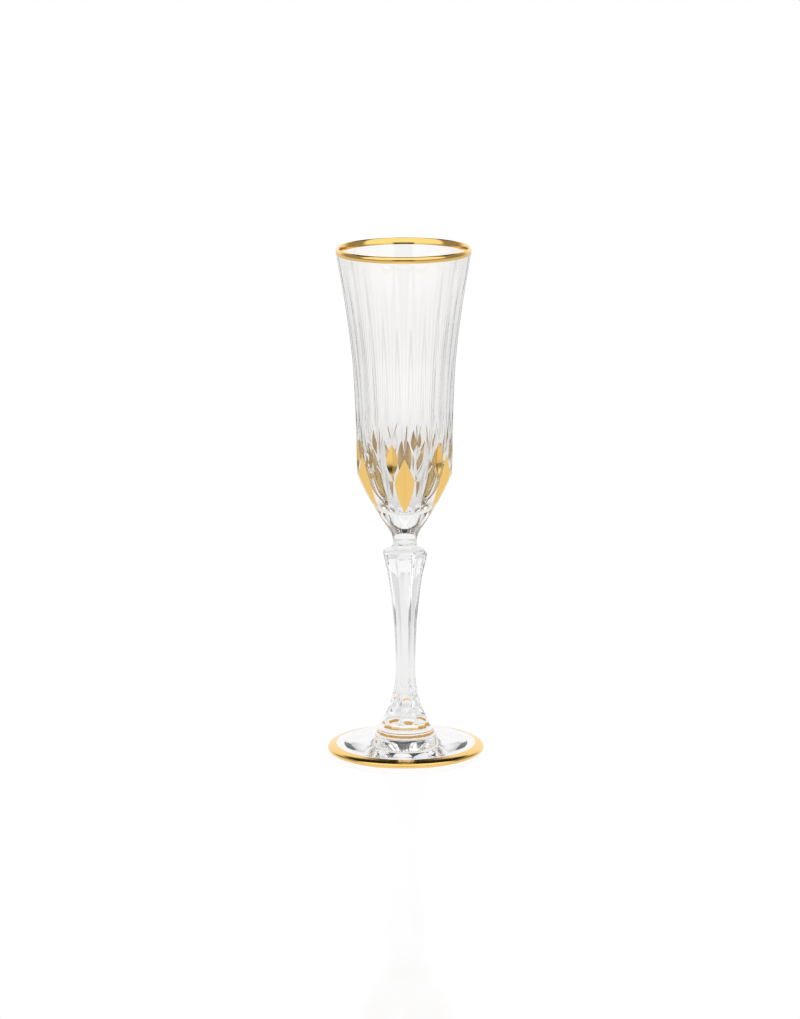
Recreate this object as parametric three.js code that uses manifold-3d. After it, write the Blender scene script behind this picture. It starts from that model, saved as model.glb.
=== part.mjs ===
// A stemmed champagne flute in cut crystal with fired-on gold: bowl, stem and foot, fused at two seams,
// and the gold films on the lip, on the foot's edge and in every second lozenge cut of the bowl.
// Millimetres, +Z up. The origin is the middle of the circle on which the foot stands.
// Angles around the axis start at the front, -Y, and grow towards +X.
import * as THREE from 'three';
import { ConvexGeometry } from 'three/addons/geometries/ConvexGeometry.js';
import { mergeVertices } from 'three/addons/utils/BufferGeometryUtils.js';
import Module from 'manifold-3d';

const wasm = await Module();
wasm.setup();

// Driving dimensions
const HEIGHT = 245;
const RIM_RADIUS = 32.1;
const LIP_THICKNESS = 2; // at the bottom of the gold band
const CORNER_RADIUS = 22.9; // where the bowl's wall turns into its cone
const CORNER_Z = 136.6;
const CONE_FOOT_RADIUS = 10.6; // where the cone turns into the neck
const CONE_FOOT_Z = 113.2;
const NECK_RADIUS = 5.8;
const NECK_SEAM_Z = 102.9; // the bowl is fused to the stem here
const INSIDE_BOTTOM_Z = 118.5;
const FOOT_RADIUS = 37.6;
const FOOT_SEAM_Z = 8.7; // the stem is fused to the foot here
const FOOT_SEAM_RADIUS = 13.9;
const FOOT_HOLLOW = 1.5; // rise of the foot's underside inside the ring that it stands on

const RIM_BAND_HEIGHT = 3;
const RIM_BAND_BOTTOM = HEIGHT - RIM_BAND_HEIGHT;
const FOOT_BAND_INNER_RADIUS = 33.5;

const BOWL_FLUTES = 24;
const BOWL_FLUTE_DEPTH = 0.75; // at its deepest, just above the lozenges
const BOWL_FLUTE_END_Z = 150;
const BOWL_FLUTE_FULL_Z = 170;
const BOWL_FLUTE_RIM_SHARE = 0.12; // what is left of the depth at the gold band
const STEM_FLUTES = 8;
const STEM_FLUTE_SHARE = 0.12; // depth of a stem flute as a share of the stem's radius
const STEM_FLUTE_END_Z = 15;
const STEM_TURN = THREE.MathUtils.degToRad(8);

const RIM_FILM = 0.25; // stands for a film of a few micrometres
const FILM = 0.3;
const SEAM_GAP = 0.3;

const BOWL_SIDES = 48;
const STEM_SIDES = 32;
const FOOT_SIDES = 48;

// A lozenge cut is a V-shaped groove across the wall. valley is the curve of its bottom line, four Bezier
// points [radius, z] of which the outer two lie just outside the glass, and slope is how fast its two sides
// rise away from it.
const LARGE_CUT = {
  count: 12,
  first: 0,
  slope: 0.62,
  valley: [
    [14.4, 119.5],
    [17.1, 129.3],
    [20.3, 139.3],
    [23.6, 149.3],
  ],
};
const SMALL_CUT = {
  count: 12,
  first: Math.PI / 12,
  slope: 0.4,
  valley: [
    [23.2, 137.4],
    [21.15, 144.8],
    [21.15, 146.6],
    [23.4, 155.6],
  ],
};
const CUT_STEPS = 6;
const CUT_REACH = 9; // half the width of a cutting block
const UP = new THREE.Vector3(0, 0, 1);

// ---- Helpers ----

// A geometry whose faces share their vertices, with positions only.
function closed(geometry) {
  geometry.deleteAttribute('normal');
  geometry.deleteAttribute('uv');
  return mergeVertices(geometry, 1e-4);
}

function solidOf(geometry) {
  const mesh = new wasm.Mesh({
    numProp: 3,
    vertProperties: new Float32Array(geometry.getAttribute('position').array),
    triVerts: new Uint32Array(geometry.index.array),
  });
  return new wasm.Manifold(mesh);
}

function geometryOf(solid) {
  const mesh = solid.getMesh();
  const geometry = new THREE.BufferGeometry();
  geometry.setAttribute('position', new THREE.BufferAttribute(mesh.vertProperties, 3));
  geometry.setIndex(new THREE.BufferAttribute(mesh.triVerts, 1));
  geometry.computeVertexNormals();
  return geometry;
}

// An outline of [radius, z, dip] points turned around +Z. Where dip is given, the surface hollows by
// that much in the middle of each flute and by nothing at the ridges between flutes.
function turned(outline, sides, flutes = 1, turn = 0) {
  const points = outline.map(([radius, z]) => new THREE.Vector2(radius, z));
  const lathe = new THREE.LatheGeometry(points, sides, turn);
  const position = lathe.getAttribute('position');
  for (let i = 0; i <= sides; i++) {
    const across = ((i * flutes) / sides) % 1;
    const hollow = 1 - (2 * Math.min(across, 1 - across)) ** 2;
    outline.forEach(([radius, , dip = 0], j) => {
      if (dip === 0) return;
      const k = i * outline.length + j;
      const scale = (radius - dip * hollow) / radius;
      position.setX(k, position.getX(k) * scale);
      position.setZ(k, position.getZ(k) * scale);
    });
  }
  return closed(lathe.rotateX(Math.PI / 2));
}

// The points of an open outline moved to its left by distance.
function inset(outline, distance) {
  const normalOf = ([r0, z0], [r1, z1]) => new THREE.Vector2(z0 - z1, r1 - r0).normalize();
  return outline.map((point, i) => {
    const before = normalOf(outline[Math.max(i - 1, 0)], outline[Math.max(i, 1)]);
    const last = outline.length - 1;
    const after = normalOf(outline[Math.min(i, last - 1)], outline[Math.min(i + 1, last)]);
    const middle = before.clone().add(after).normalize();
    const reach = distance / middle.dot(before);
    return [point[0] + middle.x * reach, point[1] + middle.y * reach];
  });
}

function curvePoints(curve, count) {
  return curve.getPoints(count).map((point) => [point.x, point.y]);
}

function splinePoints(pairs, count) {
  return curvePoints(new THREE.SplineCurve(pairs.map((pair) => new THREE.Vector2(...pair))), count);
}

function bezierPoints(pairs, count) {
  return curvePoints(new THREE.CubicBezierCurve(...pairs.map((pair) => new THREE.Vector2(...pair))), count);
}

// ---- Materials ----

function glassMaterial() {
  return new THREE.MeshStandardMaterial({
    color: 0xe9eeee,
    roughness: 0.05,
    metalness: 0,
    transparent: true,
    opacity: 0.35,
  });
}

function goldMaterial() {
  return new THREE.MeshStandardMaterial({ color: 0xe3bc55, roughness: 0.16, metalness: 1 });
}

function part(name, geometry, material) {
  const mesh = new THREE.Mesh(geometry, material);
  mesh.name = name;
  return mesh;
}

// ---- Outlines ----

// The lip's true surface, from the band's outer edge over the rounded top to its inner edge.
function lipOutline() {
  const outside = [
    [0.13, RIM_BAND_HEIGHT],
    [0, 1.6],
    [0.3, 0.5],
    [0.75, 0],
  ];
  const inside = [
    [1.25, 0],
    [1.6, 0.5],
    [LIP_THICKNESS - 0.05, 1.6],
    [LIP_THICKNESS + 0.15, RIM_BAND_HEIGHT],
  ];
  return [...outside, ...inside].map(([inwards, down]) => [RIM_RADIUS - inwards, HEIGHT - down]);
}

// The true surface of the foot's gilded edge, from just above the floor to the band's inner edge.
function footEdgeOutline() {
  return [
    [FOOT_RADIUS - 0.5, 0.35],
    [FOOT_RADIUS - 0.15, 0.8],
    [FOOT_RADIUS, 1.4],
    [FOOT_RADIUS - 0.15, 2],
    [FOOT_RADIUS - 0.6, 2.5],
    [FOOT_RADIUS - 2, 3.1],
    [FOOT_BAND_INNER_RADIUS, 3.6],
  ];
}

// Depth of the bowl's flutes: none under the lozenge cuts, full just above them, fading to the gold band.
function fluteDip(z) {
  if (z < BOWL_FLUTE_END_Z) return 0;
  const fade = THREE.MathUtils.clamp((RIM_BAND_BOTTOM - z) / (RIM_BAND_BOTTOM - BOWL_FLUTE_FULL_Z), 0, 1);
  return BOWL_FLUTE_DEPTH * (BOWL_FLUTE_RIM_SHARE + (1 - BOWL_FLUTE_RIM_SHARE) * fade);
}

function bowlOutline() {
  const neck = bezierPoints(
    [
      [NECK_RADIUS, NECK_SEAM_Z + SEAM_GAP / 2],
      [NECK_RADIUS, NECK_SEAM_Z + 4.4],
      [CONE_FOOT_RADIUS - 3.2, CONE_FOOT_Z - 5],
      [CONE_FOOT_RADIUS, CONE_FOOT_Z],
    ],
    4,
  );
  const cone = bezierPoints(
    [
      [CONE_FOOT_RADIUS, CONE_FOOT_Z],
      [15, 120.9],
      [19.9, 128.2],
      [CORNER_RADIUS, CORNER_Z],
    ],
    4,
  );
  const wall = splinePoints(
    [
      [CORNER_RADIUS, CORNER_Z],
      [23.3, 162],
      [24.7, 191],
      [27.5, 215],
      [30.8, 235],
      [RIM_RADIUS - 0.15, RIM_BAND_BOTTOM - 0.3],
    ],
    8,
  );
  const lip = inset(lipOutline(), RIM_FILM * 2);
  const inside = splinePoints(
    [
      [RIM_RADIUS - LIP_THICKNESS - 0.15, RIM_BAND_BOTTOM - 0.3],
      [28.9, 235],
      [25.85, 215],
      [23.25, 191],
      [21.75, 168],
      [21.3, 156],
    ],
    6,
  );
  const insideBottom = bezierPoints(
    [
      [21.3, 156],
      [20.2, 141],
      [14, INSIDE_BOTTOM_Z],
      [0, INSIDE_BOTTOM_Z],
    ],
    6,
  );
  return [
    [0, NECK_SEAM_Z + SEAM_GAP / 2],
    ...neck,
    ...cone.slice(1, -1),
    ...wall.map(([radius, z]) => [radius, z, fluteDip(z)]),
    ...lip,
    ...inside,
    ...insideBottom.slice(1),
  ];
}

function stemOutline() {
  const side = splinePoints(
    [
      [12.2, 12.3],
      [10.8, 15.4],
      [8.1, 22],
      [5.8, 30],
      [4.9, 39],
      [5.25, 55],
      [6.4, 71],
      [8.75, 87],
      [10.6, 95],
      [10.75, 97.3],
    ],
    18,
  );
  return [
    [0, FOOT_SEAM_Z + SEAM_GAP / 2],
    [FOOT_SEAM_RADIUS, FOOT_SEAM_Z + SEAM_GAP / 2],
    [FOOT_SEAM_RADIUS, 10.2],
    [FOOT_SEAM_RADIUS - 0.6, 11.5],
    ...side.map(([radius, z]) => [radius, z, z > STEM_FLUTE_END_Z ? STEM_FLUTE_SHARE * radius : 0]),
    [10.4, 98.4],
    [8.9, 99.35],
    [7.2, 99.9],
    [NECK_RADIUS + 0.2, 100.7],
    [NECK_RADIUS, NECK_SEAM_Z - SEAM_GAP / 2],
    [0, NECK_SEAM_Z - SEAM_GAP / 2],
  ];
}

function footOutline() {
  const standing = 29;
  const top = FOOT_SEAM_Z - SEAM_GAP / 2;
  const edge = inset(footEdgeOutline(), FILM * 2);
  return [
    [0, FOOT_HOLLOW],
    [standing * 0.6, FOOT_HOLLOW * 0.64],
    [standing, 0],
    [FOOT_RADIUS - 1.6, 0],
    ...edge,
    [FOOT_BAND_INNER_RADIUS - 0.3, 3.65],
    [25, 5.6],
    [17.6, 6.9],
    [FOOT_SEAM_RADIUS + 0.7, 7.7],
    [FOOT_SEAM_RADIUS, top],
    [0, top],
  ];
}

// ---- Cuts and films ----

// The block that a lozenge cut removes, moved outwards by shift.
function cutBlock({ valley, slope }, angle, shift) {
  const corners = bezierPoints(valley, CUT_STEPS).flatMap(([radius, z]) =>
    [-CUT_REACH, 0, CUT_REACH].map((x) => {
      const outwards = radius + shift + slope * Math.abs(x);
      return new THREE.Vector3(x, -outwards, z).applyAxisAngle(UP, angle);
    }),
  );
  return solidOf(closed(new ConvexGeometry(corners)));
}

// The cuts of one ring in order round the bowl, with which of them are gilded.
function cutsOf(ring) {
  return Array.from({ length: ring.count }, (_, i) => ({
    angle: ring.first + (i * 2 * Math.PI) / ring.count,
    gilded: i % 2 === (ring === LARGE_CUT ? 0 : 1),
  }));
}

const blank = solidOf(turned(bowlOutline(), BOWL_SIDES, BOWL_FLUTES));

function bowl() {
  let glass = blank;
  for (const ring of [LARGE_CUT, SMALL_CUT])
    for (const { angle, gilded } of cutsOf(ring))
      glass = glass.subtract(cutBlock(ring, angle, gilded ? -SEAM_GAP : 0));
  return part('bowl', geometryOf(glass), glassMaterial());
}

function lozengeFilms(ring, name) {
  return cutsOf(ring)
    .filter(({ gilded }) => gilded)
    .map(({ angle }, i) => {
      const film = blank.intersect(cutBlock(ring, angle, 0)).subtract(cutBlock(ring, angle, FILM));
      return part(name + '_' + (i + 1), geometryOf(film), goldMaterial());
    });
}

function stem() {
  return part('stem', turned(stemOutline(), STEM_SIDES, STEM_FLUTES, STEM_TURN), glassMaterial());
}

function foot() {
  return part('foot', turned(footOutline(), FOOT_SIDES), glassMaterial());
}

// A band of film over an outline of the glass.
function band(name, outline, thickness, sides) {
  const loop = [...outline, ...inset(outline, thickness).reverse(), outline[0]];
  return part(name, turned(loop, sides), goldMaterial());
}

const flute = new THREE.Group();
flute.name = 'champagne_flute';
flute.add(
  bowl(),
  stem(),
  foot(),
  band('rim_gold_band', lipOutline(), RIM_FILM, BOWL_SIDES),
  band('foot_gold_band', footEdgeOutline(), FILM, FOOT_SIDES),
  ...lozengeFilms(LARGE_CUT, 'gold_lozenge'),
  ...lozengeFilms(SMALL_CUT, 'gold_upper_lozenge'),
);

export default flute;
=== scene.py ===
"""A cut-crystal champagne flute with fired-on gold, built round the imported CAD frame. Metres, +Z up."""
from math import cos, pi, radians, sin, sqrt

import bmesh
import bpy
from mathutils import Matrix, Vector


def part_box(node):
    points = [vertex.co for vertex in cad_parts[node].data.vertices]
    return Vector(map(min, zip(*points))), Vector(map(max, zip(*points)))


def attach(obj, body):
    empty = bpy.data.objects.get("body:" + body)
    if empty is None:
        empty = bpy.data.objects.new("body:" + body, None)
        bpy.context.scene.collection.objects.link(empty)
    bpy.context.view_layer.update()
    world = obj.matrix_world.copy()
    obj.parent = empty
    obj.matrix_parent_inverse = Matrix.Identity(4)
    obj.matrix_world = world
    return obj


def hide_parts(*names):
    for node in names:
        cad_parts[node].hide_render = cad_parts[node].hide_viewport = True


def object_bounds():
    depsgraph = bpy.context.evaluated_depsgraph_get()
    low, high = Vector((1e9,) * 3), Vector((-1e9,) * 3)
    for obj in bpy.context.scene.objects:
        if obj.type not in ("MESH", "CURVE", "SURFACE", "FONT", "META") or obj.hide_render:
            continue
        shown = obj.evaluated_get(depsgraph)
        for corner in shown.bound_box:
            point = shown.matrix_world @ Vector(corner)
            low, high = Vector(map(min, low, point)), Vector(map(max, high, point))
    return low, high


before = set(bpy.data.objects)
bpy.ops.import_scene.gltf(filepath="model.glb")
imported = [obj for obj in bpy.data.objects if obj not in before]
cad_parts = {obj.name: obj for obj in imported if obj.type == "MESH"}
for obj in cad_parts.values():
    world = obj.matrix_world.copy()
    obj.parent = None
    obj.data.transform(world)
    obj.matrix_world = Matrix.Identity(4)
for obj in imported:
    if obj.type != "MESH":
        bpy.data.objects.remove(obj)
cad_low, cad_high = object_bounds()

# ---------------------------------------------------------------- dimensions
# Outlines are in millimetres of a flute 245 mm tall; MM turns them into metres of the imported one.
HEIGHT = 245.0
MM = cad_high.z / HEIGHT


def node_mm(node):
    """A CAD node's box as (lowest corner, highest corner), in millimetres."""
    low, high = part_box(node)
    return Vector(low) / MM, Vector(high) / MM


RIM_RADIUS = node_mm("rim_gold_band")[1].x
RIM_BAND_BOTTOM = node_mm("rim_gold_band")[0].z
FOOT_RADIUS = node_mm("foot_gold_band")[1].x
NECK_SEAM_Z = (node_mm("stem")[1].z + node_mm("bowl")[0].z) / 2
FOOT_SEAM_Z = (node_mm("foot")[1].z + node_mm("stem")[0].z) / 2
SEAMS = (NECK_SEAM_Z, FOOT_SEAM_Z)

LIP_THICKNESS = 2.0
CORNER_RADIUS = 22.9
CORNER_Z = 136.6
CONE_FOOT_RADIUS = 10.6
CONE_FOOT_Z = 113.2
NECK_RADIUS = 5.8
INSIDE_BOTTOM_Z = 118.5
FOOT_SEAM_RADIUS = 13.9
FOOT_HOLLOW = 1.5
FOOT_HOLLOW_RADIUS = 29.0
FOOT_HOLLOW_STEPS = 16
FOOT_BAND_INNER_RADIUS = 33.5
FOOT_SIDES = 192
BAND_SIDES = 288

FLUTES = 24
FLUTE_DEPTH = 0.62
FLUTE_STEPS = 12
FLUTE_END_Z = (149.0, 155.5)  # over a large cut, over a small cut
SPIKE_TIP_Z = 165.0  # the flutes are fully open above this
FLUTE_FULL_Z = 170.0  # where the flutes stop fading towards the rim
FLUTE_RIM_SHARE = 0.12  # what is left of their depth at the rim
FULL_OPENING = 0.985  # the widest share of its pitch that a flute takes
END_OPENING = 0.12  # that share where a flute ends
OPENING_PER_MM = 0.1  # how fast the columns spread out again below the end
IDLE_OPENING = 0.83  # that share in rows without flutes

STEM_FLUTES = 8
STEM_FLUTE_STEPS = 18
STEM_FLUTE_SHARE = 0.12  # of the stem's radius
STEM_END_OPENING = 0.1
STEM_TURN = radians(8)
STEM_FLUTE_END_Z = 14.6
STEM_FLUTE_FULL_Z = 18.0
SHOULDER_FADE_ROWS = 7  # rows of the shoulder over which the stem's flutes fade out

FILM = 0.05  # thickness of the gold
SUNK = 0.01  # how deep the gold reaches into the glass, so that no gap shows between them

# Colour of the light that glass lets through, with painted shade: darker below the first height, over the
# thick stem, foot and base of the bowl; nearly clear in the thin wall above the second.
LOW_GLASS_SHADE_TINT = (0.872, 0.872, 0.87, 1)
HIGH_GLASS_TINT = (0.992, 0.987, 0.977, 1)
GLASS_SHADE_Z = (138.0, 174.0)
CLOUD_SHARE = 0.1  # how much of the change between the two tints the noise makes
CRYSTAL_CLOUD_SCALE = 40
CRYSTAL_IOR = 1.52

GOLD_TINTS = ((0.88, 0.56, 0.17, 1), (0.95, 0.64, 0.22, 1))
GOLD_ROUGHNESS = (0.08, 0.18)
GOLD_BACK_TINTS = ((0.90, 0.62, 0.24, 1), (0.98, 0.74, 0.36, 1))
GOLD_BACK_ROUGHNESS = 0.35
GOLD_CLOUD_SCALE = 300

# What the flute sees, as brightness by the angle from the direction behind it and the angle above the
# floor. Each pair of angles is where a change starts and ends.
BACKDROP = 1.05
SIDE_WALL = 0.3
CEILING = 0.02
LIGHT = 1.25
BACKDROP_EDGE = (radians(35), radians(65))
WALL_TOP = (radians(36), radians(41))
LIGHT_FROM = (radians(95), radians(110))
LIGHT_BOTTOM = (radians(4), radians(12))
LIGHT_TOP = (radians(76), radians(80))
OPENING = (radians(158), radians(163))
OPENING_BOTTOM = (0.0, 0.06)
OPENING_TOP = (radians(12), radians(16))

# The floor's brightness: near the flute, to its sides in metres past the edge, and to the camera.
SWEEP = 1.0
ROOM = 0.8
SWEEP_EDGE = (0.08, 0.34)
FLOOR_TO_CAMERA = 1.02
FLOOR_SIZE = 6
FLOOR_GLOSS = 0.08
FLOOR_ROUGHNESS = 0.08

CAMERA_DISTANCE = 2066.0
CAMERA_HEIGHT = 557.5
CAMERA_PITCH = radians(12.0)
CAMERA_ROLL = radians(0.27)
CAMERA_YAW = radians(0.006)
SENSOR = 36.0
LENS = 156.047

# A valley is the Bezier curve that the wheel's edge leaves, as (radius, z). Both sides rise from it by
# slope; first is the angle of the ring's first cut.
LARGE_CUT = {
    "first": 0.0,
    "slope": 0.62,
    "valley": [(14.4, 119.5), (17.1, 129.3), (20.3, 139.3), (23.6, 149.3)],
}
SMALL_CUT = {
    "first": pi / 12,
    "slope": 0.4,
    "valley": [(23.2, 137.4), (21.15, 144.8), (21.15, 146.6), (23.4, 155.6)],
}
CUT_REACH = 9.0  # half the width of the block that a cut removes
CUT_STEPS = 24
CUTS = 12  # in each ring

# Edges are kept sharp where the surface turns by more than this.
BOWL_CREASE = radians(10)
STEM_CREASE = radians(14)
FOOT_CREASE = radians(30)
BAND_CREASE = radians(40)
MERGE_DISTANCE = 1e-4


# ---------------------------------------------------------------- curves
def spline(points, count):
    """count + 1 points of the uniform Catmull-Rom spline through these points."""
    ends = [points[0]] + list(points) + [points[-1]]
    made = []
    for i in range(count + 1):
        t = i / count * (len(points) - 1)
        k = min(int(t), len(points) - 2)
        t -= k
        p = [Vector(q) for q in ends[k : k + 4]]
        made.append(
            p[1] + (p[2] - p[0]) * t / 2
            + (p[0] * 2 - p[1] * 5 + p[2] * 4 - p[3]) * t * t / 2
            + (p[1] * 3 - p[0] - p[2] * 3 + p[3]) * t**3 / 2
        )
    return [tuple(p) for p in made]


def bezier(points, count):
    """count + 1 points of the cubic Bezier curve with these four control points."""
    a, b, c, d = (Vector(p) for p in points)
    made = []
    for i in range(count + 1):
        t = i / count
        made.append(a * (1 - t) ** 3 + b * 3 * t * (1 - t) ** 2 + c * 3 * t * t * (1 - t) + d * t**3)
    return [tuple(p) for p in made]


def inset(outline, distance):
    """The points of an open outline moved to its left by distance."""
    moved = []
    last = len(outline) - 1
    for i, p in enumerate(outline):
        a, b = Vector(outline[max(i - 1, 0)]), Vector(outline[max(i, 1)])
        c, d = Vector(outline[min(i, last - 1)]), Vector(outline[min(i + 1, last)])
        before = Vector((a.y - b.y, b.x - a.x)).normalized()
        after = Vector((c.y - d.y, d.x - c.x)).normalized()
        middle = (before + after).normalized()
        moved.append(tuple(Vector(p) + middle * (distance / middle.dot(before))))
    return moved


# ---------------------------------------------------------------- meshes
def new_object(name, mesh):
    obj = bpy.data.objects.new(name, mesh)
    bpy.context.scene.collection.objects.link(obj)
    return obj


def grid_object(name, rows, cap_low=None, cap_high=None, loop=False, second=()):
    """Rows of (radius, angle, z) points round the axis, joined by quads. cap_low and cap_high are the
    heights of a middle point that closes the first and the last row; loop joins the last row to the first.
    Caps on a seam, and the quads above the rows listed in second, take the piece's second material."""
    bm = bmesh.new()
    made = []
    for row in rows:
        made.append([bm.verts.new((r * sin(a) * MM, -r * cos(a) * MM, z * MM)) for r, a, z in row])
    if loop:
        made.append(made[0])
    count = len(made[0])
    for k, (low, high) in enumerate(zip(made, made[1:])):
        for i in range(count):
            j = (i + 1) % count
            face = bm.faces.new((low[i], low[j], high[j], high[i]))
            face.material_index = int(k in second)
    for ring, height in ((made[0], cap_low), (made[-1], cap_high)):
        if height is None:
            continue
        centre = bm.verts.new((0, 0, height * MM))
        for i in range(count):
            face = bm.faces.new((ring[i], ring[(i + 1) % count], centre))
            face.material_index = int(height in SEAMS)
    bmesh.ops.recalc_face_normals(bm, faces=bm.faces)
    mesh = bpy.data.meshes.new(name)
    bm.to_mesh(mesh)
    bm.free()
    return new_object(name, mesh)


def smooth(obj, crease):
    """Smooth shading, with an edge kept sharp where its faces turn by more than crease."""
    bm = bmesh.new()
    bm.from_mesh(obj.data)
    bmesh.ops.remove_doubles(bm, verts=bm.verts, dist=MM * MERGE_DISTANCE)
    for face in bm.faces:
        face.smooth = True
    for edge in bm.edges:
        edge.smooth = not (len(edge.link_faces) == 2 and edge.calc_face_angle() > crease)
    bm.to_mesh(obj.data)
    bm.free()


def cut_object(cut, angle, shift):
    """The block that a lozenge cut removes, moved outwards by shift."""
    bm = bmesh.new()
    for radius, z in bezier(cut["valley"], CUT_STEPS):
        for x in (-CUT_REACH, 0, CUT_REACH):
            out = radius + shift + cut["slope"] * abs(x)
            turned = (x * cos(angle) + out * sin(angle), x * sin(angle) - out * cos(angle))
            bm.verts.new((turned[0] * MM, turned[1] * MM, z * MM))
    hull = bmesh.ops.convex_hull(bm, input=bm.verts)
    inner = {v for v in hull["geom_interior"] + hull["geom_unused"] if isinstance(v, bmesh.types.BMVert)}
    bmesh.ops.delete(bm, geom=list(inner), context="VERTS")
    bmesh.ops.recalc_face_normals(bm, faces=bm.faces)
    mesh = bpy.data.meshes.new("cut")
    bm.to_mesh(mesh)
    bm.free()
    return new_object("cut", mesh)


def boolean(obj, steps):
    """Applies [(operation, cutter object), ...] to obj in order and removes the cutters."""
    for operation, cutter in steps:
        modifier = obj.modifiers.new(operation, "BOOLEAN")
        modifier.operation = operation
        modifier.object = cutter
        modifier.solver = "MANIFOLD"
    depsgraph = bpy.context.evaluated_depsgraph_get()
    mesh = bpy.data.meshes.new_from_object(obj.evaluated_get(depsgraph))
    obj.modifiers.clear()
    obj.data = mesh
    for _, cutter in steps:
        bpy.data.objects.remove(cutter)


def lozenges(cut):
    """(angle, gilded) of each cut of one ring."""
    first_gilded = 0 if cut is LARGE_CUT else 1
    return [(cut["first"] + i * 2 * pi / CUTS, i % 2 == first_gilded) for i in range(CUTS)]


# ---------------------------------------------------------------- outlines
def widened(outline, radius):
    """An outline moved sideways until its widest point is at radius."""
    widest = max(r for r, z in outline)
    return [(r - widest + radius, z) for r, z in outline]


def lip_outline():
    """The lip's true surface from the band's outer edge over the top to its inner edge."""
    inner = RIM_RADIUS - LIP_THICKNESS
    outside = bezier([(RIM_RADIUS - 0.13, RIM_BAND_BOTTOM), (RIM_RADIUS + 0.15, HEIGHT - 1.6),
                      (RIM_RADIUS - 0.2, HEIGHT - 0.4), (RIM_RADIUS - 0.75, HEIGHT - 0.1)], 12)
    top = bezier([outside[-1], (RIM_RADIUS - 0.9, HEIGHT), (RIM_RADIUS - 1.05, HEIGHT),
                  (RIM_RADIUS - 1.2, HEIGHT - 0.1)], 6)
    inside = bezier([top[-1], (inner + 0.4, HEIGHT - 0.5), (inner + 0.05, HEIGHT - 1.6),
                     (inner - 0.15, RIM_BAND_BOTTOM)], 12)
    return widened(outside + top[1:] + inside[1:], RIM_RADIUS)


def foot_edge_outline():
    """The true surface of the foot's gilded edge, from just above the floor to the band's inner edge."""
    corner = bezier([(FOOT_RADIUS - 0.5, 0.35), (FOOT_RADIUS + 0.1, 0.8), (FOOT_RADIUS + 0.2, 1.75),
                     (FOOT_RADIUS - 0.5, 2.4)], 12)
    top = bezier([corner[-1], (FOOT_RADIUS - 1.1, 2.95), (FOOT_RADIUS - 2.4, 3.15),
                  (FOOT_BAND_INNER_RADIUS, 3.6)], 8)
    return widened(corner + top[1:], FOOT_RADIUS)


def columns(count, steps, openings):
    """The (angle, flute, across) of each column of a fluted row: steps + 1 over each flute's opening, where
    across runs from -1 to 1, and one, with across None, in the middle of each ridge."""
    made = []
    for k in range(count):
        here = openings[k % len(openings)]
        after = openings[(k + 1) % len(openings)]
        for j in range(steps + 1):
            across = 2 * j / steps - 1
            made.append(((k + here * across / 2) * 2 * pi / count, k, across))
        made.append(((k + (here + 2 - after) / 4) * 2 * pi / count, k, None))
    return made


def fluted_row(radius, z, places, dips=(0,), turn=0):
    """A row over these columns, hollowed by dips in the middle of each flute."""
    row = []
    for angle, k, across in places:
        dip = 0 if across is None else dips[k % len(dips)] * (1 - across * across)
        row.append((radius - dip, angle + turn, z))
    return row


def flute_opening(z, end):
    """The share of its pitch that a flute of the bowl takes at height z. Below its end only the columns
    of points spread out again, since the flute has no depth there."""
    if z >= SPIKE_TIP_Z:
        return FULL_OPENING
    if z <= end:
        return min(IDLE_OPENING, END_OPENING + (end - z) * OPENING_PER_MM)
    return max(END_OPENING, FULL_OPENING * (z - end) / (SPIKE_TIP_Z - end))


def wall_row(radius, z):
    """One row of the bowl's fluted outside."""
    openings = [flute_opening(z, end) for end in FLUTE_END_Z]
    below_rim = min(max((RIM_BAND_BOTTOM - z) / (RIM_BAND_BOTTOM - FLUTE_FULL_Z), 0), 1)
    fade = FLUTE_RIM_SHARE + (1 - FLUTE_RIM_SHARE) * below_rim
    dips = []
    for opening, end in zip(openings, FLUTE_END_Z):
        dips.append(FLUTE_DEPTH * fade * opening / FULL_OPENING if z > end else 0)
    return fluted_row(radius, z, columns(FLUTES, FLUTE_STEPS, openings), dips)


def bowl_blank():
    """The bowl before its lozenges are cut."""
    neck = bezier([(NECK_RADIUS, NECK_SEAM_Z), (NECK_RADIUS, NECK_SEAM_Z + 4.4),
                   (CONE_FOOT_RADIUS - 3.2, CONE_FOOT_Z - 5), (CONE_FOOT_RADIUS, CONE_FOOT_Z)], 16)
    cone = bezier([neck[-1], (15.0, 120.9), (19.9, 128.2), (CORNER_RADIUS, CORNER_Z)], 14)[1:-1]
    wall = spline([(CORNER_RADIUS, CORNER_Z), (23.3, 162), (24.7, 191), (27.5, 215), (30.8, 235),
                   (RIM_RADIUS - 0.15, RIM_BAND_BOTTOM)], 110)
    lip = inset(lip_outline(), FILM - SUNK)
    inside = spline([(RIM_RADIUS - LIP_THICKNESS - 0.15, RIM_BAND_BOTTOM), (28.9, 235), (25.85, 215),
                     (23.25, 191), (21.75, 168), (21.3, 156)], 36)
    bottom = bezier([inside[-1], (20.2, 141), (14.0, INSIDE_BOTTOM_Z), (0, INSIDE_BOTTOM_Z)], 28)
    idle = columns(FLUTES, FLUTE_STEPS, (IDLE_OPENING,))
    full = columns(FLUTES, FLUTE_STEPS, (FULL_OPENING,))
    rows = [fluted_row(r, z, idle) for r, z in neck + cone]
    rows += [wall_row(r, z) for r, z in wall]
    rows += [fluted_row(r, z, full) for r, z in lip]
    rows += [fluted_row(r, z, idle) for r, z in inside + bottom[1:-1]]
    return grid_object("bowl_glass", rows, cap_low=NECK_SEAM_Z, cap_high=INSIDE_BOTTOM_Z)


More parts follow.
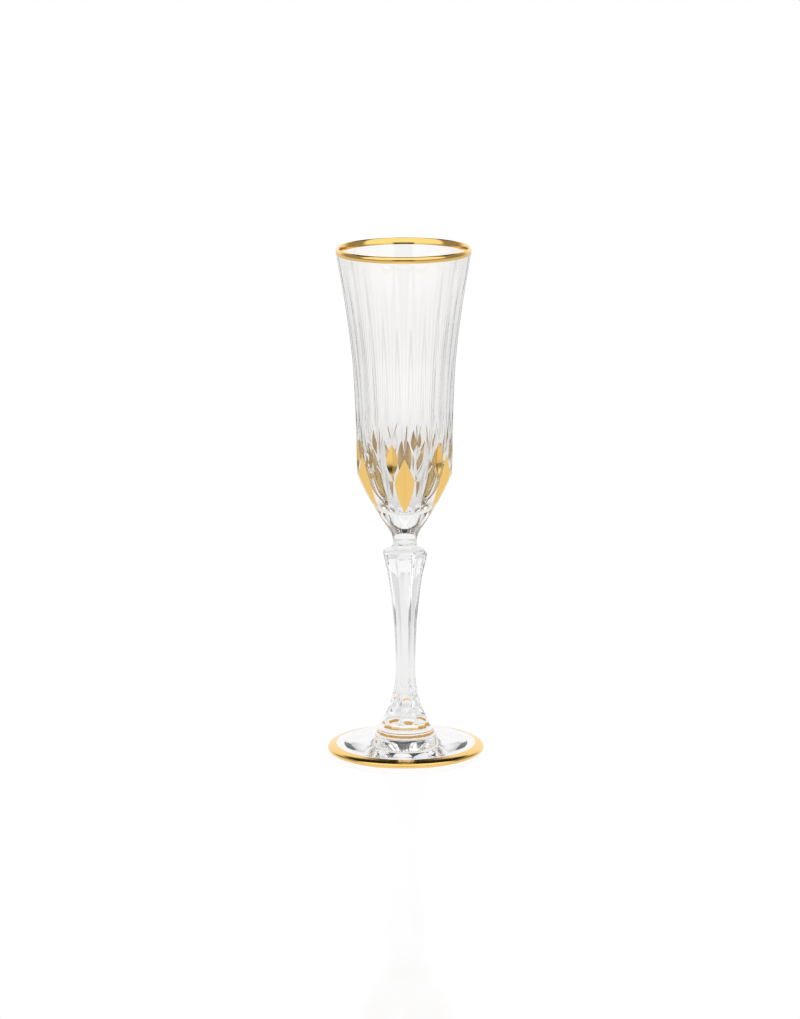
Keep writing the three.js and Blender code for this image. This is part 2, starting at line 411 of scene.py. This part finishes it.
def stem_glass():
    """The stem, from its round base ring over the fluted side to the shoulder and the neck."""
    base = bezier([(FOOT_SEAM_RADIUS, FOOT_SEAM_Z), (FOOT_SEAM_RADIUS + 0.05, FOOT_SEAM_Z + 2.2),
                   (13.8, 11.5), (12.2, 12.3)], 10)[:-1]
    side = spline([(12.2, 12.3), (10.8, 15.4), (8.1, 22), (5.8, 30), (4.9, 39), (5.25, 55),
                   (6.4, 71), (8.75, 87), (10.6, 95), (10.75, 97.3)], 110)
    shoulder = bezier([side[-1], (10.6, 98.7), (8.9, 99.5), (7.2, 99.9)], 10)[1:]
    neck = bezier([shoulder[-1], (6.3, 100.2), (NECK_RADIUS, 101), (NECK_RADIUS, NECK_SEAM_Z)], 8)[1:]
    idle = columns(STEM_FLUTES, STEM_FLUTE_STEPS, (FULL_OPENING,))
    narrow = columns(STEM_FLUTES, STEM_FLUTE_STEPS, (STEM_END_OPENING,))
    rows = [fluted_row(r, z, narrow, turn=STEM_TURN) for r, z in base]
    for r, z in side:
        open_share = min(max((z - STEM_FLUTE_END_Z) / (STEM_FLUTE_FULL_Z - STEM_FLUTE_END_Z), 0), 1)
        opening = max(STEM_END_OPENING, FULL_OPENING * sqrt(open_share))
        places = columns(STEM_FLUTES, STEM_FLUTE_STEPS, (opening,))
        rows.append(fluted_row(r, z, places, (STEM_FLUTE_SHARE * r * open_share,), STEM_TURN))
    for i, (r, z) in enumerate(shoulder):
        left = max(1 - (i + 1) / SHOULDER_FADE_ROWS, 0)
        rows.append(fluted_row(r, z, idle, (STEM_FLUTE_SHARE * r * left,), STEM_TURN))
    rows += [fluted_row(r, z, idle, turn=STEM_TURN) for r, z in neck]
    return grid_object("stem_glass", rows, cap_low=FOOT_SEAM_Z, cap_high=NECK_SEAM_Z)


def foot_glass():
    """The foot: hollow under, gilded edge, domed top and the boss that carries the stem."""
    shares = [(i + 1) / FOOT_HOLLOW_STEPS for i in range(FOOT_HOLLOW_STEPS)]
    under = [(FOOT_HOLLOW_RADIUS * t, FOOT_HOLLOW * (1 - t * t)) for t in shares]
    rim = [(33, 0), (FOOT_RADIUS - 1.3, 0), (FOOT_RADIUS - 0.85, 0.12)]
    edge = inset(foot_edge_outline(), FILM - SUNK)
    top = bezier([(FOOT_BAND_INNER_RADIUS - 0.1, 3.61), (29, 4.7), (22.5, 6.1), (17.6, 6.9)], 14)
    boss = bezier([top[-1], (15.6, 7.2), (14.2, 7.6), (FOOT_SEAM_RADIUS, FOOT_SEAM_Z)], 8)[1:]
    outline = under + rim + edge + top + boss
    rows = [[(r, i * 2 * pi / FOOT_SIDES, z) for i in range(FOOT_SIDES)] for r, z in outline]
    return grid_object("foot_glass", rows, cap_low=FOOT_HOLLOW, cap_high=FOOT_SEAM_Z)


def band(name, outline):
    """A ring of gold whose outside is this outline; its inside takes the second material."""
    loop = outline + inset(outline, FILM)[::-1]
    rows = [[(r, i * 2 * pi / BAND_SIDES, z) for i in range(BAND_SIDES)] for r, z in loop]
    return grid_object(name, rows, loop=True, second=range(len(outline), 2 * len(outline) - 1))


def film(name, blank, cut, angle):
    """The gold in one lozenge; its faces towards the axis take the second material."""
    obj = new_object(name, blank.data.copy())
    boolean(obj, [("INTERSECT", cut_object(cut, angle, -SUNK)),
                  ("DIFFERENCE", cut_object(cut, angle, FILM - SUNK))])
    for face in obj.data.polygons:
        face.material_index = int(face.normal.xy.dot(face.center.xy) < 0)
    return obj


# ---------------------------------------------------------------- materials
def principled(name):
    material = bpy.data.materials.new(name)
    material.use_nodes = True
    nodes = material.node_tree.nodes
    return material, nodes, material.node_tree.links, nodes["Principled BSDF"]


def math_node(nodes, links, operation, *values):
    node = nodes.new("ShaderNodeMath")
    node.operation = operation
    for socket, value in zip(node.inputs, values):
        if isinstance(value, (int, float)):
            socket.default_value = value
        else:
            links.new(value, socket)
    return node.outputs[0]


def step(nodes, links, value, low, high):
    """0 below low, 1 above high, smooth between."""
    node = nodes.new("ShaderNodeMapRange")
    node.interpolation_type = "SMOOTHSTEP"
    node.inputs["From Min"].default_value = low
    node.inputs["From Max"].default_value = high
    links.new(value, node.inputs["Value"])
    return node.outputs["Result"]


def cloud_node(nodes, links, scale):
    """A noise over the piece, and the place in metres that it is read at."""
    coord = nodes.new("ShaderNodeTexCoord")
    cloud = nodes.new("ShaderNodeTexNoise")
    cloud.inputs["Scale"].default_value = scale
    links.new(coord.outputs["Object"], cloud.inputs["Vector"])
    return cloud.outputs["Fac"], coord.outputs["Object"]


def tint_between(nodes, links, share, low, high, socket):
    """Links a colour from low at share 0 to high at share 1 into a socket."""
    tint = nodes.new("ShaderNodeValToRGB")
    tint.color_ramp.elements[0].color = low
    tint.color_ramp.elements[1].color = high
    links.new(share, tint.inputs["Fac"])
    links.new(tint.outputs["Color"], socket)


def crystal_material():
    """Clear crystal. Each surface takes a little light, and much more below a height, as painted shade that
    darkens the thick stem, foot and base of the bowl.
    """
    material, nodes, links, shader = principled("crystal")
    shader.inputs["Transmission Weight"].default_value = 1
    shader.inputs["Roughness"].default_value = 0
    shader.inputs["IOR"].default_value = CRYSTAL_IOR
    cloud, where = cloud_node(nodes, links, CRYSTAL_CLOUD_SCALE)
    xyz = nodes.new("ShaderNodeSeparateXYZ")
    links.new(where, xyz.inputs[0])
    # Painted shade: the glass tint is darker by height alone, below the shade heights.
    above_shade = step(nodes, links, xyz.outputs[2], *(z * MM for z in GLASS_SHADE_Z))
    share = math_node(nodes, links, "MULTIPLY_ADD", above_shade, 1 - CLOUD_SHARE, CLOUD_SHARE / 2)
    cloudy = math_node(nodes, links, "SUBTRACT", cloud, 0.5)
    share = math_node(nodes, links, "MULTIPLY_ADD", cloudy, CLOUD_SHARE, share)
    tint_between(nodes, links, share, LOW_GLASS_SHADE_TINT, HIGH_GLASS_TINT, shader.inputs["Base Color"])
    return material


def seam_material():
    """The faces on which two glass pieces are fused: there is no surface there, so light goes straight on."""
    material, _, _, shader = principled("fused_seam")
    shader.inputs["Alpha"].default_value = 0
    return material


def gold_material():
    material, nodes, links, shader = principled("gold")
    shader.inputs["Metallic"].default_value = 1
    cloud, _ = cloud_node(nodes, links, GOLD_CLOUD_SCALE)
    tint_between(nodes, links, cloud, *GOLD_TINTS, shader.inputs["Base Color"])
    rough = nodes.new("ShaderNodeMapRange")
    rough.inputs["To Min"].default_value = GOLD_ROUGHNESS[0]
    rough.inputs["To Max"].default_value = GOLD_ROUGHNESS[1]
    links.new(cloud, rough.inputs["Value"])
    links.new(rough.outputs["Result"], shader.inputs["Roughness"])
    return material


def gold_back_material():
    """Fired gold seen from inside the glass: duller than its polished outside."""
    material, nodes, links, shader = principled("gold_back")
    shader.inputs["Metallic"].default_value = 1
    shader.inputs["Roughness"].default_value = GOLD_BACK_ROUGHNESS
    cloud, _ = cloud_node(nodes, links, GOLD_CLOUD_SCALE)
    tint_between(nodes, links, cloud, *GOLD_BACK_TINTS, shader.inputs["Base Color"])
    return material


GLASS = (crystal_material(), seam_material())
GILDING = (gold_material(), gold_back_material())


def place(obj, nodes, materials, crease):
    """Shades a piece, gives it its first and second material, parents it to the root body and hides the CAD
    nodes it stands for.
    """
    smooth(obj, crease)
    which = [face.material_index for face in obj.data.polygons]
    obj.data.materials.clear()
    for material in materials:
        obj.data.materials.append(material)
    obj.data.polygons.foreach_set("material_index", which)
    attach(obj, "root")
    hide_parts(*nodes)


# ---------------------------------------------------------------- the flute
blank = bowl_blank()
bowl = new_object("bowl_glass", blank.data.copy())
boolean(bowl, [("DIFFERENCE", cut_object(cut, angle, 0))
               for cut in (LARGE_CUT, SMALL_CUT) for angle, _ in lozenges(cut)])
place(bowl, ["bowl"], GLASS, BOWL_CREASE)
place(stem_glass(), ["stem"], GLASS, STEM_CREASE)
place(foot_glass(), ["foot"], GLASS, FOOT_CREASE)
place(band("rim_band", lip_outline()), ["rim_gold_band"], GILDING, BAND_CREASE)
place(band("foot_band", foot_edge_outline()), ["foot_gold_band"], GILDING, BAND_CREASE)
for cut, node in ((LARGE_CUT, "gold_lozenge"), (SMALL_CUT, "gold_upper_lozenge")):
    angles = [angle for angle, gilded in lozenges(cut) if gilded]
    for i, angle in enumerate(angles):
        name = "%s_%d" % (node, i + 1)
        place(film(name.replace("gold", "gilt"), blank, cut, angle), [name], GILDING, BOWL_CREASE)
bpy.data.objects.remove(blank)


# ---------------------------------------------------------------- stage
def studio_world():
    """White to the camera. What the flute sees: a bright backdrop behind it, dimmer walls at its sides, one
    broad light over the front half, a dark ceiling, and a dark opening low in front for the camera."""
    world = bpy.data.worlds.new("studio")
    world.use_nodes = True
    nodes, links = world.node_tree.nodes, world.node_tree.links

    def calc(operation, *values):
        return math_node(nodes, links, operation, *values)

    def rises(value, low, high):
        return step(nodes, links, value, low, high)

    def falls(value, low, high):
        return calc("SUBTRACT", 1.0, rises(value, low, high))

    coord = nodes.new("ShaderNodeTexCoord")
    xyz = nodes.new("ShaderNodeSeparateXYZ")
    links.new(coord.outputs["Generated"], xyz.inputs[0])
    x, y, z = xyz.outputs
    around = calc("ARCTAN2", calc("ABSOLUTE", x), y)
    up = calc("ARCSINE", z)
    walls = calc("MULTIPLY_ADD", falls(around, *BACKDROP_EDGE), BACKDROP - SIDE_WALL, SIDE_WALL)
    walls = calc("MULTIPLY", walls, falls(up, *WALL_TOP))
    light_height = calc("MULTIPLY", rises(up, *LIGHT_BOTTOM), falls(up, *LIGHT_TOP))
    light = calc("MULTIPLY", rises(around, *LIGHT_FROM), light_height)
    opening_height = calc("MULTIPLY", rises(up, *OPENING_BOTTOM), falls(up, *OPENING_TOP))
    opening = calc("MULTIPLY", rises(around, *OPENING), opening_height)
    shade = calc("SUBTRACT", 1.0, opening)
    seen = calc("MULTIPLY_ADD", calc("MAXIMUM", walls, calc("MULTIPLY", light, LIGHT)), shade, CEILING)
    path = nodes.new("ShaderNodeLightPath")
    level = nodes.new("ShaderNodeMix")
    links.new(path.outputs["Is Camera Ray"], level.inputs["Factor"])
    links.new(seen, level.inputs["A"])
    level.inputs["B"].default_value = 1.0
    nodes["Background"].inputs["Color"].default_value = (1, 1, 1, 1)
    links.new(level.outputs["Result"], nodes["Background"].inputs["Strength"])
    return world


def floor_material():
    """A glowing white floor, a little glossy, and dimmer towards the sides for all but the camera."""
    material = bpy.data.materials.new("white_floor")
    material.use_nodes = True
    nodes, links = material.node_tree.nodes, material.node_tree.links
    nodes.remove(nodes["Principled BSDF"])
    geometry = nodes.new("ShaderNodeNewGeometry")
    xyz = nodes.new("ShaderNodeSeparateXYZ")
    links.new(geometry.outputs["Position"], xyz.inputs[0])
    aside = math_node(nodes, links, "ABSOLUTE", xyz.outputs[0])
    past_edge = step(nodes, links, aside, *SWEEP_EDGE)
    path = nodes.new("ShaderNodeLightPath")
    level = nodes.new("ShaderNodeMix")
    links.new(math_node(nodes, links, "MULTIPLY_ADD", past_edge, ROOM - SWEEP, SWEEP), level.inputs["A"])
    level.inputs["B"].default_value = FLOOR_TO_CAMERA
    links.new(path.outputs["Is Camera Ray"], level.inputs["Factor"])
    glow = nodes.new("ShaderNodeEmission")
    links.new(level.outputs["Result"], glow.inputs["Strength"])
    gloss = nodes.new("ShaderNodeBsdfGlossy")
    gloss.inputs["Roughness"].default_value = FLOOR_ROUGHNESS
    mix = nodes.new("ShaderNodeMixShader")
    mix.inputs["Fac"].default_value = FLOOR_GLOSS
    links.new(glow.outputs[0], mix.inputs[1])
    links.new(gloss.outputs[0], mix.inputs[2])
    links.new(mix.outputs[0], nodes["Material Output"].inputs["Surface"])
    return material


bpy.ops.mesh.primitive_plane_add(size=FLOOR_SIZE)
floor = bpy.context.object
floor.name = "floor"
floor.data.materials.append(floor_material())
bpy.context.scene.world = studio_world()

scene = bpy.context.scene
scene.view_settings.view_transform = "Standard"
scene.cycles.max_bounces = 24
scene.cycles.transmission_bounces = 24
scene.cycles.transparent_max_bounces = 24
scene.cycles.glossy_bounces = 8

camera = bpy.data.objects.new("camera", bpy.data.cameras.new("camera"))
scene.collection.objects.link(camera)
camera.data.sensor_width = SENSOR
camera.data.lens = LENS
camera.location = (0, -CAMERA_DISTANCE * MM, CAMERA_HEIGHT * MM)
camera.rotation_euler = (pi / 2 - CAMERA_PITCH, CAMERA_ROLL, CAMERA_YAW)
camera.data.clip_start = 0.1
camera.data.clip_end = 50
scene.camera = camera
